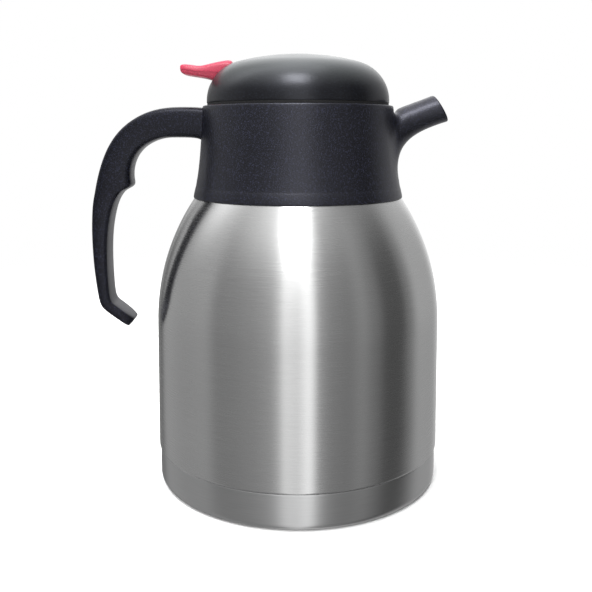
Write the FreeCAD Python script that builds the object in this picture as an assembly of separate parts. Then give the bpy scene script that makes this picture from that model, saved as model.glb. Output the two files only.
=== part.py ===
"""A vacuum-insulated steel serving jug with a press-lever stopper.

The jug stands on the XY plane with its axis on Z. The spout points along +X and the handle along -X.
The steel body is two walls with a vacuum between them, welded at the neck. A moulded collar with the
spout sits on its shoulder and carries the handle. The stopper screws into the collar. Pressing its
lever lifts a sprung valve, and the drink then runs through the stopper's windows into the spout.
"""

import FreeCAD
import Part

import math
import os

from FreeCAD import Vector

# ---------------------------------------------------------------- driving dimensions, in millimetres
body_radius = 73.5
sheet = 0.6                     # wall of the outer shell and the base cup
liner_sheet = 0.5
vacuum_gap = 3.9
seam_height = 17.4              # top edge of the base cup
shoulder_start = 82.0           # the straight wall ends here
shoulder_radius = 114.0         # one long arc from the wall to the neck
shoulder_end_angle = 37.25      # degrees of that arc, where the neck begins
neck_radius = 46.5
neck_foot = 157.0
neck_top = 169.0
liner_neck_radius = 43.3

cup_radius = 72.75
cup_corner = 3.5
foot_ring_inner = 63.0
base_recess = 1.7
pad_radius = 61.0
liner_floor = 14.5
liner_corner = 14.0
vacuum_base_height = 8.0
pump_hole = 1.5                 # radius of the hole that the air was drawn out through

collar_foot_radius = 54.4
collar_foot = 145.9
collar_band = 5.6               # height of the flared band at the collar's foot
collar_wall = 2.4
collar_waist_radius = 50.9
collar_waist = 172.0
rim_radius = 49.5
rim = 193.2
rim_edge = 1.0
rim_lip_radius = 46.2
hub_foot = 158.0
web = 2.4                       # floor of the pouring chamber
gasket = 1.6
fit = 0.1                       # clearance between fixed pieces that slide together
running = 0.05                  # radial clearance of a pin that turns or slides
press = 0.01                    # of a pin or ring held in its hole
bead = 0.7                      # the steel neck's bead that holds the collar

thread_lead = 15.0
thread_starts = 3
thread_width = 2.0              # along the axis
thread_gap = 0.3                # between the stopper's lugs and the collar's ridges
ridge_radius = 44.3             # inner radius of the collar's ridges
ridge_start = 186.0
ridge_span = 100.0              # degrees
lug_radius = 45.9
lug_offset = 20.0               # degrees from the foot of a ridge to its lug
lug_span = 50.0

skirt_radius = 43.8
skirt_wall = 2.2
tube_radius = 37.0
tube_wall = 2.4
tube_foot = 151.8
tube_ledge = 155.6
seal_ledge_radius = 41.0
partition = 182.5               # underside of the stopper's inner ceiling
partition_wall = 2.4
window_foot = 171.5
window_count = 6
window_width = 24.0
seat_foot = 150.4
seat_hole = 12.0
lid_flange_radius = 45.0
lid_flange = 194.6
chassis = 196.5                 # underside of the plate that carries the lever
chassis_wall = 2.0
chassis_radius = 45.1
boss_angles = (0, 120, 240)     # bosses for the screws that hold the lever's plate
boss_distance = 34.0
boss_radius = 4.0
guide_radius = 5.0
guide_flange = 6.0

dome_foot = 194.5
dome_wall = 2.0
dome_corner = 22.0
dome_corner_start = 16.3        # degrees from the axis, where the top meets the corner
dome_top = 221.3
dome_corner_radius = 31.5       # distance from the axis where the corner starts
tab_radius = 49.3
tab_half_angle = 24.0

pivot_x = -32.0
pivot = 207.0
pin_radius = 1.5
lever_half_width = 9.0
lever_arm = 5.0                 # half width of the fork inside the dome
lever_edge = 1.0                # rounding of the lever's long edges
lever_gap = 0.5                 # beside the lever, in the dome's slot and between the ears
ear_wall = 2.5
slot_foot = 204.4
slot_end = -32.4
arm_top = 208.6

stem_radius = 2.5
head_radius = 4.2
head_height = 2.6
stem_foot = 150.9
plug_radius = 17.0
plug_height = 2.6
washer_height = 1.5
washer_seat = 153.85
spring_radius = 7.0
spring_wire = 0.6
spring_turns = 6

handle_half_width = 8.5
handle_wall = 2.8
handle_edge = 1.7               # rounding of the handle's long edges
cover_half_width = 5.6
cover_depth = 2.0
arm_underside = 176.9
tenon_half_width = 5.0
tenon_foot = 181.4
tenon_top = 186.4
tenon_reach = -66.5
handle_screws_x = (-57.0, -63.0)
insert_radius = 2.5
insert_height = 3.2

screw_radius = 1.5
screw_head_radius = 2.8
screw_head = 1.8

# ---------------------------------------------------------------- worked out from them
liner_radius = body_radius - sheet - vacuum_gap
shoulder_centre = body_radius - shoulder_radius
skirt_step = body_radius - (cup_radius - sheet - fit)
chamber_floor = neck_top + gasket + web
skirt_inner = skirt_radius - skirt_wall
chassis_top = chassis + chassis_wall
plug_foot = washer_seat + washer_height
head_foot = arm_top + 0.3
dome_radius = dome_corner_radius + dome_corner * (1 - math.sin(math.radians(dome_corner_start)))
foot_weld = tube_ledge + 3.4    # where the stopper's tube is welded on its foot
seat_top = washer_seat - 0.05
clip_top = washer_seat


class Outline:
    """A closed line in the XZ plane, drawn edge by edge. X is the radius in a turned piece."""

    def __init__(self, x, z):
        self.start = self.at = Vector(x, 0, z)
        self.edges = []

    def line(self, x, z):
        end = Vector(x, 0, z)
        self.edges.append(Part.LineSegment(self.at, end).toShape())
        self.at = end
        return self

    def arc(self, via, end):
        via, end = Vector(via[0], 0, via[1]), Vector(end[0], 0, end[1])
        self.edges.append(Part.Arc(self.at, via, end).toShape())
        self.at = end
        return self

    def curve(self, *points):
        through = [self.at] + [Vector(x, 0, z) for x, z in points]
        spline = Part.BSplineCurve()
        spline.interpolate(through)
        self.edges.append(spline.toShape())
        self.at = through[-1]
        return self

    def about(self, centre, end):
        """An arc round a centre, the short way, to the end point."""
        middle = Vector(centre[0], 0, centre[1])
        radius = (self.at - middle).Length
        half = (self.at - middle) + (Vector(end[0], 0, end[1]) - middle)
        via = middle + half.normalize() * radius
        return self.arc((via.x, via.z), end)

    def face(self):
        if (self.at - self.start).Length > 1e-6:
            self.line(self.start.x, self.start.z)
        return Part.Face(Part.Wire(self.edges))

    def turned(self, angle=360.0, start=0.0):
        face = self.face()
        face.rotate(Vector(), Vector(0, 0, 1), start)
        return face.revolve(Vector(), Vector(0, 0, 1), angle)

    def wide(self, half_width):
        face = self.face()
        face.translate(Vector(0, -half_width, 0))
        return face.extrude(Vector(0, 2 * half_width, 0))


def ring(inner, outer, foot, top):
    """A plain ring or, with no inner radius, a disc."""
    solid = Part.makeCylinder(outer, top - foot, Vector(0, 0, foot))
    if inner:
        solid = solid.cut(Part.makeCylinder(inner, top - foot, Vector(0, 0, foot)))
    return solid


def around(radius, angle, z=0.0):
    turn = math.radians(angle)
    return Vector(radius * math.cos(turn), radius * math.sin(turn), z)


def save(name, shape):
    solids = [s for s in shape.Solids if s.Volume > 0]
    kept = solids[0] if len(solids) == 1 else Part.makeCompound(solids)
    if not kept.isValid():
        raise ValueError(name + " is not a valid shape")
    kept.exportStep(os.path.join("parts", name + ".step"))
    print("%-16s %d solid(s) %10.0f mm3" % (name, len(solids), kept.Volume))


# ---------------------------------------------------------------- the double-walled steel body
def shoulder_point(angle, inset=0.0):
    turn = math.radians(angle)
    reach = shoulder_radius - inset
    return shoulder_centre + reach * math.cos(turn), shoulder_start + reach * math.sin(turn)


def neck_bend(radius, inset):
    """Centre of the hollow bend between the shoulder and the upright neck of that radius."""
    x, z = shoulder_point(shoulder_end_angle, inset)
    across, up = x - radius, neck_foot - z
    return radius + (across ** 2 + up ** 2) / (2 * across), neck_foot


def outer_shell():
    """Drawn steel sheet, brushed: wall, shoulder and neck, stepped in where the base cup slides on."""
    skirt = body_radius - skirt_step
    step_foot, step_top = seam_height + 0.05, seam_height + 0.6
    foot = sheet + 2.8
    inner_neck = neck_radius - sheet
    outline = Outline(skirt, foot).line(skirt, step_foot).line(body_radius, step_top)
    outline.line(body_radius, shoulder_start)
    outline.arc(shoulder_point(shoulder_end_angle / 2), shoulder_point(shoulder_end_angle))
    outline.about(neck_bend(neck_radius, 0), (neck_radius, neck_foot))
    bead_middle = (neck_foot + neck_top) / 2 - 1
    outline.line(neck_radius, bead_middle - bead)
    outline.arc((neck_radius + bead, bead_middle), (neck_radius, bead_middle + bead))
    outline.line(neck_radius, neck_top).line(liner_neck_radius, neck_top)
    outline.line(liner_neck_radius, neck_top - sheet).line(inner_neck, neck_top - sheet)
    outline.line(inner_neck, neck_foot)
    outline.about(neck_bend(inner_neck, sheet), shoulder_point(shoulder_end_angle, sheet))
    outline.arc(shoulder_point(shoulder_end_angle / 2, sheet), shoulder_point(0, sheet))
    outline.line(body_radius - sheet, step_top + 0.2).line(skirt - sheet, step_foot + 0.2)
    outline.line(skirt - sheet, foot)
    return outline.turned()


def liner_outline(inset):
    """Half of the liner's profile, from the neck down to the middle of its floor."""
    gap = sheet + vacuum_gap + inset
    radius, neck = liner_radius - inset, liner_neck_radius - inset
    floor = liner_floor + inset
    corner = liner_corner - inset
    outline = Outline(neck, neck_top).line(neck, neck_foot)
    outline.about(neck_bend(neck, gap), shoulder_point(shoulder_end_angle, gap))
    outline.arc(shoulder_point(shoulder_end_angle / 2, gap), shoulder_point(0, gap))
    outline.line(radius, liner_floor + liner_corner)
    outline.about((radius - corner, liner_floor + liner_corner), (radius - corner, floor))
    return outline.line(0, floor).line(0, neck_top)


def liner_pieces():
    """The drink's own vessel: a drawn shoulder with its neck, a rolled wall and a pressed floor,
    welded into one, and welded to the outer shell at the neck."""
    vessel = liner_outline(0).turned().cut(liner_outline(liner_sheet).turned())
    upper = ring(0, body_radius, shoulder_start, neck_top)
    middle = ring(0, body_radius, liner_floor + liner_corner, shoulder_start)
    lower = ring(0, body_radius, liner_floor, liner_floor + liner_corner)
    return vessel.common(upper), vessel.common(middle), vessel.common(lower)


def vacuum_base():
    """Welded-in bottom of the vacuum space, with the small hole that the air was pumped out of."""
    radius = body_radius - skirt_step - sheet
    foot = vacuum_base_height - 3.5
    outline = Outline(pump_hole, vacuum_base_height).line(radius - 2.5, vacuum_base_height)
    outline.line(radius - sheet, vacuum_base_height - 1.5).line(radius - sheet, foot).line(radius, foot)
    outline.line(radius, vacuum_base_height - 1.2).line(radius - 2.3, vacuum_base_height + sheet)
    return outline.line(pump_hole, vacuum_base_height + sheet).turned()


def pump_plug():
    """Bead of solder glass that closes the pump hole."""
    outline = Outline(0, vacuum_base_height - 1.4).line(4.0, vacuum_base_height - 1.4)
    outline.line(5.0, vacuum_base_height).line(pump_hole, vacuum_base_height)
    return outline.line(pump_hole, vacuum_base_height + sheet).line(0, vacuum_base_height + sheet).turned()


def getter():
    """Pellet in the vacuum space that takes up the last gas."""
    return Part.makeCylinder(7.0, 1.8, Vector(35, 0, vacuum_base_height + sheet))


def base_cup():
    """Brushed steel cup over the vacuum base: the visible band, the rounded edge and the foot ring."""
    inner = cup_radius - sheet
    ramp = base_recess * 0.6
    outline = Outline(cup_radius, seam_height - 0.2).line(cup_radius, cup_corner)
    outline.about((cup_radius - cup_corner, cup_corner), (cup_radius - cup_corner, 0))
    outline.line(foot_ring_inner, 0).line(foot_ring_inner - ramp, base_recess).line(0, base_recess)
    outline.line(0, base_recess + sheet).line(foot_ring_inner - ramp + 0.3, base_recess + sheet)
    outline.line(foot_ring_inner + 0.3, sheet).line(cup_radius - cup_corner, sheet)
    outline.about((cup_radius - cup_corner, cup_corner), (inner, cup_corner))
    return outline.line(inner, seam_height).line(cup_radius - 0.2, seam_height).turned()


def base_pad():
    """Non-slip pad glued in the foot ring, level with it."""
    return ring(0, pad_radius, 0, base_recess)


# ---------------------------------------------------------------- the collar and its spout
def collar_outer():
    """The collar's outside as a solid plug."""
    band_top = collar_foot + collar_band
    outline = Outline(0, collar_foot).line(collar_foot_radius, collar_foot)
    outline.line(collar_foot_radius - 1.0, band_top)
    outline.arc((collar_waist_radius + 0.95, band_top + 9.5), (collar_waist_radius, collar_waist))
    outline.line(rim_radius, rim - rim_edge)
    outline.about((rim_radius - rim_edge, rim - rim_edge), (rim_radius - rim_edge, rim))
    return outline.line(0, rim).turned()


def collar_hollow():
    """Everything inside the collar that is not plastic, above and below the chamber's floor."""
    lip_foot = rim - 2.2
    shoulder = shoulder_radius + fit
    inner_angle = math.degrees(math.acos((collar_waist_radius + 0.7 - shoulder_centre) / shoulder))
    outer_angle = math.degrees(math.asin((collar_foot - 1 - shoulder_start) / shoulder))
    below = Outline(0, collar_foot - 1).line(shoulder_point(outer_angle, -fit)[0], collar_foot - 1)
    below.arc(shoulder_point((inner_angle + outer_angle) / 2, -fit), shoulder_point(inner_angle, -fit))
    below.line(collar_waist_radius - 0.8, hub_foot - 1).line(neck_radius + 0.3, hub_foot)
    bead_middle = (neck_foot + neck_top) / 2 - 1
    socket = neck_radius + fit
    below.line(socket, hub_foot).line(socket, bead_middle - bead - fit)
    below.arc((socket + bead + fit, bead_middle), (socket, bead_middle + bead + fit))
    below.line(socket, neck_top + gasket).line(0, neck_top + gasket)
    hole = liner_neck_radius - 0.2
    above = Outline(0, neck_top).line(hole, neck_top).line(hole, chamber_floor)
    above.line(collar_waist_radius - collar_wall, chamber_floor)
    above.line(rim_radius - collar_wall, lip_foot - 1).line(rim_lip_radius, lip_foot)
    above.line(rim_lip_radius, rim + 1).line(0, rim + 1)
    return below.turned().fuse(above.turned())


# The spout's sections from its root in the collar to its mouth: the middle of each, how far it leans
# back from upright in degrees, its half height and half width, and the same for the bore.
spout_sections = (
    # x,    z,    lean, half height, half width, bore x, bore z, bore height, bore width
    (46.5, 177.5, 3.0, 15.8, 22.0, 41.0, 178.3, 4.6, 6.5),
    (50.4, 179.4, 6.0, 13.7, 16.5, 47.0, 180.4, 4.9, 6.5),
    (54.7, 183.7, 10.0, 9.7, 11.8, 53.5, 183.3, 5.5, 6.6),
    (60.3, 186.8, 17.0, 8.0, 9.4, 60.3, 186.8, 6.0, 6.7),
    (67.0, 189.5, 23.0, 7.7, 8.6, 67.0, 189.5, 5.9, 6.8),
    (75.4, 192.2, 30.4, 8.0, 8.6, 75.4, 192.2, 6.5, 7.1),
)


def spout_outer():
    return Part.makeLoft([smooth_oval(*s[:5]) for s in spout_sections], True)


def smooth_oval(x, z, lean, half_height, half_width):
    """One section of the spout as a closed curve that starts at its top, so that sections line up."""
    turn = math.radians(lean)
    up = Vector(-math.sin(turn), 0, math.cos(turn))
    points = []
    for step in range(16):
        angle = math.radians(step * 22.5)
        points.append(Vector(x, 0, z) + up * (half_height * math.cos(angle))
                      + Vector(0, half_width * math.sin(angle), 0))
    curve = Part.BSplineCurve()
    curve.interpolate(points, True)
    return Part.Wire(curve.toShape())


def spout_bore():
    past_mouth = spout_sections[-1]
    sections = [smooth_oval(s[5], s[6], s[2], s[7], s[8]) for s in spout_sections]
    turn = math.radians(past_mouth[2])
    out = Vector(math.cos(turn), 0, math.sin(turn)) * 3
    sections.append(smooth_oval(past_mouth[5] + out.x, past_mouth[6] + out.z, past_mouth[2],
                                past_mouth[7], past_mouth[8]))
    return Part.makeLoft(sections, True)


def helical_rib(inner, outer, height, span):
    """A rib of the thread's section that climbs the thread's lead, starting at angle zero."""
    half = thread_width / 2
    slope = 0.35
    rise = thread_lead * span / 360.0
    helix = Part.makeHelix(thread_lead, rise, (inner + outer) / 2)
    profile = Part.makePolygon([
        Vector(inner, 0, -half), Vector(outer, 0, -half + slope), Vector(outer, 0, half - slope),
        Vector(inner, 0, half), Vector(inner, 0, -half)])
    rib = Part.Wire(helix.Edges).makePipeShell([profile], True, True)
    rib.translate(Vector(0, 0, height))
    return rib


def collar():
    """One moulding: the collar, the spout, the chamber's floor, the thread and the handle's tenon."""
    tenon = Part.makeBox(-collar_waist_radius + 2 - tenon_reach, 2 * tenon_half_width,
                         tenon_top - tenon_foot, Vector(tenon_reach, -tenon_half_width, tenon_foot))
    for x in handle_screws_x:
        tenon = tenon.cut(Part.makeCylinder(screw_radius + fit, 20, Vector(x, 0, tenon_foot - 5)))
    body = collar_outer().fuse(spout_outer())
    body = body.cut(Part.makeBox(200, 200, 20, Vector(-150, -100, rim)).cut(
        Part.makeBox(60, 60, 40, Vector(rim_radius, -30, rim - 10))))
    body = body.fuse(tenon)
    body = body.cut(collar_hollow())
    for start in range(thread_starts):
        ridge = helical_rib(rim_radius - collar_wall + 1.0, ridge_radius, 0, ridge_span)
        ridge.translate(Vector(0, 0, ridge_start))
        ridge.rotate(Vector(), Vector(0, 0, 1), start * 360.0 / thread_starts)
        body = body.fuse(ridge)
    return body.cut(spout_bore())


def neck_gasket():
    """Silicone ring between the steel neck and the collar's floor."""
    return ring(liner_neck_radius + fit, neck_radius, neck_top, neck_top + gasket)


# ---------------------------------------------------------------- the handle
def handle_side():
    """The handle's side view: the arm, the grip with its finger stop, and the hooked end."""
    outline = Outline(-45.0, 192.3).line(-62.0, 192.2)
    outline.curve((-76.9, 189.7), (-88.3, 183.3), (-96.8, 174.6), (-105.3, 154.6), (-108.4, 130.3),
                  (-107.0, 107.0), (-104.8, 90.6))
    outline.arc((-104.0, 88.3), (-102.2, 86.6)).line(-91.5, 78.1)
    outline.arc((-89.8, 77.3), (-88.3, 78.3)).line(-87.2, 79.7).arc((-86.6, 81.2), (-87.5, 82.6))
    outline.line(-97.6, 90.4).arc((-98.8, 92.0), (-99.2, 94.0))
    outline.curve((-100.0, 102.5), (-100.1, 115.4), (-99.4, 128.4), (-97.4, 138.6), (-94.4, 146.2),
                  (-89.6, 150.3))
    outline.arc((-87.3, 151.7), (-86.9, 153.9))
    outline.curve((-87.5, 158.0), (-86.8, 163.0), (-83.4, 169.2), (-77.5, 174.2), (-70.0, 176.6),
                  (-60.0, 176.9))
    return outline.line(-45.0, 176.2)


def collar_clear():
    """The collar's outside, grown a little, to trim what butts against it."""
    grown = Outline(0, collar_foot).line(collar_foot_radius + fit, collar_foot)
    grown.line(collar_waist_radius + fit, collar_waist).line(rim_radius + fit, rim - rim_edge)
    return grown.line(rim_radius - 4, rim + 1).line(0, rim + 1).turned()


def handle_solid():
    """The handle's outside with rounded edges and a rounded tip."""
    solid = handle_side().wide(handle_half_width)
    edges = []
    for edge in solid.Edges:
        middle = edge.valueAt((edge.FirstParameter + edge.LastParameter) / 2)
        if abs(abs(middle.y) - handle_half_width) < 1e-6 and middle.x < -46:
            edges.append(edge)
    solid = solid.makeFillet(handle_edge, edges)
    hook_angle = 41.5
    turn = math.radians(-hook_angle)
    reach = -86.6 * math.cos(turn) + 81.0 * math.sin(turn)
    plan = Part.makeBox(200, 2 * handle_half_width, 400, Vector(-200, -handle_half_width, -200))
    ends = [e for e in plan.Edges if abs(e.Vertexes[0].X) < 1e-6 and abs(e.Vertexes[1].X) < 1e-6
            and abs(e.Vertexes[0].Y - e.Vertexes[1].Y) < 1e-6]
    plan = plan.makeFillet(handle_half_width - 1.5, ends)
    plan.translate(Vector(reach, 0, 0))
    plan.rotate(Vector(), Vector(0, 1, 0), hook_angle)
    return solid.common(plan)


def grip_core(half_width):
    """The grip's side view, drawn in by the cover's depth all round."""
    core = Outline(-100.8, 92.6).curve((-101.5, 102.5), (-101.5, 115.4), (-100.8, 128.9), (-98.7, 139.3),
                                       (-95.5, 147.6))
    core.line(-97.0, 150.5).line(-103.4, 150.5)
    return core.curve((-105.6, 140.0), (-106.2, 130.3), (-104.9, 107.0), (-103.0, 92.6)).wide(half_width)


def cover_strip(half_width):
    """The band along the hand side of the grip that the cover fills."""
    strip = Outline(-98.6, 94.0).line(-101.5, 94.0)
    strip.curve((-102.1, 102.5), (-102.1, 115.4), (-101.4, 128.9), (-99.3, 139.3), (-96.1, 147.6))
    return strip.line(-85, 147.6).line(-85, 94.0).wide(half_width)


def handle_hollow():
    """The grip's inside, from above the hooked end to below the finger stop."""
    return grip_core(cover_half_width - 1.3)


def handle_screw_axis(x, radius, foot, top):
    return Part.makeCylinder(radius, top - foot, Vector(x, 0, foot))


def handle_shell():
    """The grip and arm, hollow under the cover, with the socket for the collar's tenon."""
    socket_wide = tenon_half_width + fit
    socket = Part.makeBox(40, 2 * socket_wide, tenon_top - tenon_foot + 2 * fit,
                          Vector(tenon_reach - fit, -socket_wide, tenon_foot - fit))
    solid = handle_solid().cut(handle_hollow()).cut(cover_strip(cover_half_width + press))
    solid = solid.cut(socket).cut(collar_clear())
    for x in handle_screws_x:
        solid = solid.cut(handle_screw_axis(x, screw_radius + fit, 170, tenon_foot))
        solid = solid.cut(handle_screw_axis(x, screw_head_radius + fit, 170,
                                            arm_underside + screw_head))
        solid = solid.cut(handle_screw_axis(x, insert_radius + press, tenon_top,
                                            tenon_top + fit + insert_height))
    return solid


def handle_cover():
    """Strip clipped in the grip's hand side, flush with it."""
    return handle_side().wide(handle_half_width).common(cover_strip(cover_half_width))


def handle_screws():
    screws = []
    for x in handle_screws_x:
        shank = handle_screw_axis(x, screw_radius, arm_underside + screw_head - 0.1,
                                  tenon_top + insert_height)
        head = handle_screw_axis(x, screw_head_radius, arm_underside, arm_underside + screw_head)
        slot = handle_screw_axis(x, 1.2, arm_underside, arm_underside + 1.0)
        screws.append(shank.fuse(head).cut(slot))
    return Part.makeCompound(screws)


def handle_inserts():
    """Brass inserts pressed into the arm, which the screws are turned into."""
    bushes = []
    for x in handle_screws_x:
        bush = handle_screw_axis(x, insert_radius, tenon_top + fit, tenon_top + fit + insert_height)
        bushes.append(bush.cut(handle_screw_axis(x, screw_radius + press, 180, 195)))
    return Part.makeCompound(bushes)


# ---------------------------------------------------------------- the stopper
def stopper_seal():
    """Lip seal between the stopper's foot and the steel neck. It does not turn with the stopper."""
    inner, lip = tube_radius + running, liner_neck_radius - liner_sheet - 0.08
    foot, top = tube_foot + 0.1, tube_ledge - 0.1
    middle = (foot + top) / 2
    outline = Outline(inner, foot).line(lip - 1.0, foot).arc((lip, foot + 0.8), (lip - 0.9, middle))
    return outline.arc((lip, top - 0.8), (lip - 1.0, top)).line(inner, top).turned()


def stopper_tube_whole():
    """The stopper's lower part: the valve seat, the seal's groove and the pouring windows."""
    bore = tube_radius - tube_wall
    outline = Outline(seat_hole, seat_foot).line(seal_ledge_radius, seat_foot)
    outline.line(seal_ledge_radius, tube_foot).line(tube_radius, tube_foot)
    outline.line(tube_radius, tube_ledge).line(seal_ledge_radius, tube_ledge)
    outline.line(seal_ledge_radius, tube_ledge + 1.4).line(tube_radius, foot_weld)
    outline.line(tube_radius, partition - 1.5).line(tube_radius + 1.5, partition)
    outline.line(bore, partition).line(bore, tube_foot).line(seat_hole + 1.6, tube_foot)
    outline.line(seat_hole + 1.2, seat_top).line(seat_hole, seat_top)
    body = outline.turned()
    for index in range(window_count):
        window = Part.makeBox(20, window_width, partition - 1.5 - window_foot,
                              Vector(tube_radius - 12, -window_width / 2, window_foot))
        window.rotate(Vector(), Vector(0, 0, 1), index * 360.0 / window_count)
        body = body.cut(window)
    return body


def stopper_tube_pieces():
    """Three mouldings welded into one: the foot with the seat, the tube, and the window cage."""
    whole = stopper_tube_whole()
    foot = ring(0, lid_flange_radius, seat_foot, foot_weld)
    tube = ring(0, lid_flange_radius, foot_weld, window_foot)
    cage = ring(0, lid_flange_radius, window_foot, partition)
    return whole.common(foot), whole.common(tube), whole.common(cage)


def stopper_cap():
    """The stopper's upper moulding, welded on the tube: the ceiling, the skirt and the thread's lugs."""
    outline = Outline(guide_radius + press, partition).line(skirt_radius, partition)
    outline.line(skirt_radius, lid_flange)
    outline.line(lid_flange_radius, lid_flange).line(lid_flange_radius, chassis)
    outline.line(skirt_inner, chassis).line(skirt_inner, partition + partition_wall)
    body = outline.line(guide_radius + press, partition + partition_wall).turned()
    for angle in boss_angles:
        place = around(boss_distance, angle, partition + 1)
        boss = Part.makeCylinder(boss_radius, chassis - partition - 1, place)
        body = body.fuse(boss)
        pilot = around(boss_distance, angle, chassis - 8)
        body = body.cut(Part.makeCylinder(screw_radius + press, 9, pilot))
    drop = thread_width + thread_gap
    for index in range(thread_starts):
        lug = helical_rib(skirt_radius - 0.8, lug_radius, 0, lug_span)
        lug.translate(Vector(0, 0, ridge_start + thread_lead * lug_offset / 360.0 - drop))
        lug.rotate(Vector(), Vector(0, 0, 1), index * 360.0 / thread_starts + lug_offset)
        body = body.fuse(lug)
    return body


def stem_guide():
    """Bush in the ceiling that the valve's stem slides and seals in."""
    top = partition + partition_wall
    outline = Outline(stem_radius + running, partition).line(guide_radius, partition)
    outline.line(guide_radius, top).line(guide_flange, top).line(guide_flange, top + 1.4)
    return outline.line(stem_radius + running, top + 1.4).turned()


def rim_gasket():
    """Silicone ring round the skirt, in the collar's rim, with a flange between rim and dome."""
    outline = Outline(skirt_radius + press, rim - 1.4).line(rim_lip_radius - 0.08, rim - 1.4)
    outline.line(rim_lip_radius - 0.08, rim + 0.1).line(rim_lip_radius + 0.9, rim + 0.1)
    return outline.line(rim_lip_radius + 0.9, lid_flange - 0.1).line(skirt_radius + press,
                                                                     lid_flange - 0.1).turned()


def lever_carrier():
    """Plate on the stopper's flange with the two ears for the lever's pin."""
    inner = lever_half_width + lever_gap
    plate = ring(0, chassis_radius, chassis, chassis_top)
    plate = plate.cut(Part.makeCylinder(head_radius + 2.5, 10, Vector(0, 0, chassis - 4)))
    for side in (-1, 1):
        middle = side * (inner + ear_wall / 2)
        ear = Part.makeBox(9, ear_wall, pivot - chassis,
                           Vector(pivot_x - 4.5, middle - ear_wall / 2, chassis))
        top = Part.makeCylinder(4.5, ear_wall, Vector(pivot_x, middle - ear_wall / 2, pivot),
                                Vector(0, 1, 0))
        rib = Part.makeBox(10, ear_wall, 4, Vector(pivot_x + 4, middle - ear_wall / 2, chassis))
        plate = plate.fuse([ear, top, rib])
    plate = plate.cut(Part.makeCylinder(pin_radius + press, 60, Vector(pivot_x, -30, pivot),
                                        Vector(0, 1, 0)))
    for angle in boss_angles:
        place = around(boss_distance, angle, chassis - 1)
        plate = plate.cut(Part.makeCylinder(screw_radius + fit, 6, place))
    return plate.removeSplitter()


def lid_screws():
    screws = []
    for angle in boss_angles:
        shank = Part.makeCylinder(screw_radius, chassis_top - chassis + 7.1,
                                  around(boss_distance, angle, chassis - 7))
        head = Part.makeCylinder(screw_head_radius, screw_head,
                                 around(boss_distance, angle, chassis_top))
        drive = Part.makeCylinder(1.2, 2, around(boss_distance, angle, chassis_top + 0.8))
        screws.append(shank.fuse(head).cut(drive))
    return Part.makeCompound(screws)


def lever_pin():
    half = lever_half_width + lever_gap + ear_wall
    return Part.makeCylinder(pin_radius, 2 * half, Vector(pivot_x, -half, pivot), Vector(0, 1, 0))


def dome_point(angle, inset):
    """A point of the dome's profile, that many degrees from upright on its corner arc."""
    start = math.radians(dome_corner_start)
    cap = dome_corner_radius / math.sin(start)
    centre_x = dome_corner_radius - dome_corner * math.sin(start)
    centre_z = dome_top - cap * (1 - math.cos(start)) - dome_corner * math.cos(start)
    turn = math.radians(angle)
    reach = dome_corner - inset
    return centre_x + reach * math.sin(turn), centre_z + reach * math.cos(turn)


def cap_point(angle, inset):
    cap = dome_corner_radius / math.sin(math.radians(dome_corner_start))
    turn = math.radians(angle)
    return (cap - inset) * math.sin(turn), dome_top - cap + (cap - inset) * math.cos(turn)


def lid_dome():
    """Black dome over the lever's works, with the lever's slot and a small grip tab at the back."""
    start = dome_corner_start
    middle = (90 + start) / 2
    outline = Outline(dome_radius, dome_foot).line(*dome_point(90, 0))
    outline.arc(dome_point(middle, 0), dome_point(start, 0))
    outline.arc(cap_point(start / 2, 0), (0, dome_top))
    outline.line(0, dome_top - dome_wall)
    outline.arc(cap_point(start / 2, dome_wall), cap_point(start, dome_wall))
    shoulder = 76
    outline.arc(dome_point((start + shoulder) / 2, dome_wall), dome_point(shoulder, dome_wall))
    outline.line(chassis_radius - 1.2, chassis_top + 1.4).line(chassis_radius - 1.2, chassis_top)
    outline.line(chassis_radius + press, chassis_top).line(chassis_radius + press, dome_foot)
    dome = outline.turned()
    tab = Outline(dome_radius - 1.5, dome_foot).line(dome_radius + 0.1, dome_foot)
    tab.line(dome_radius + 0.1, dome_foot - 0.5).line(tab_radius - 0.6, dome_foot - 0.5)
    tab.arc((tab_radius, dome_foot + 1), (tab_radius - 0.4, dome_foot + 2.6))
    tab.line(dome_radius - 0.6, dome_foot + 3.6)
    dome = dome.fuse(tab.turned(2 * tab_half_angle, 180 - tab_half_angle))
    wide = lever_half_width + lever_gap
    slot = Part.makeBox(slot_end + 60, 2 * wide, 30, Vector(-60, -wide, slot_foot))
    return dome.cut(slot)


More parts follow.
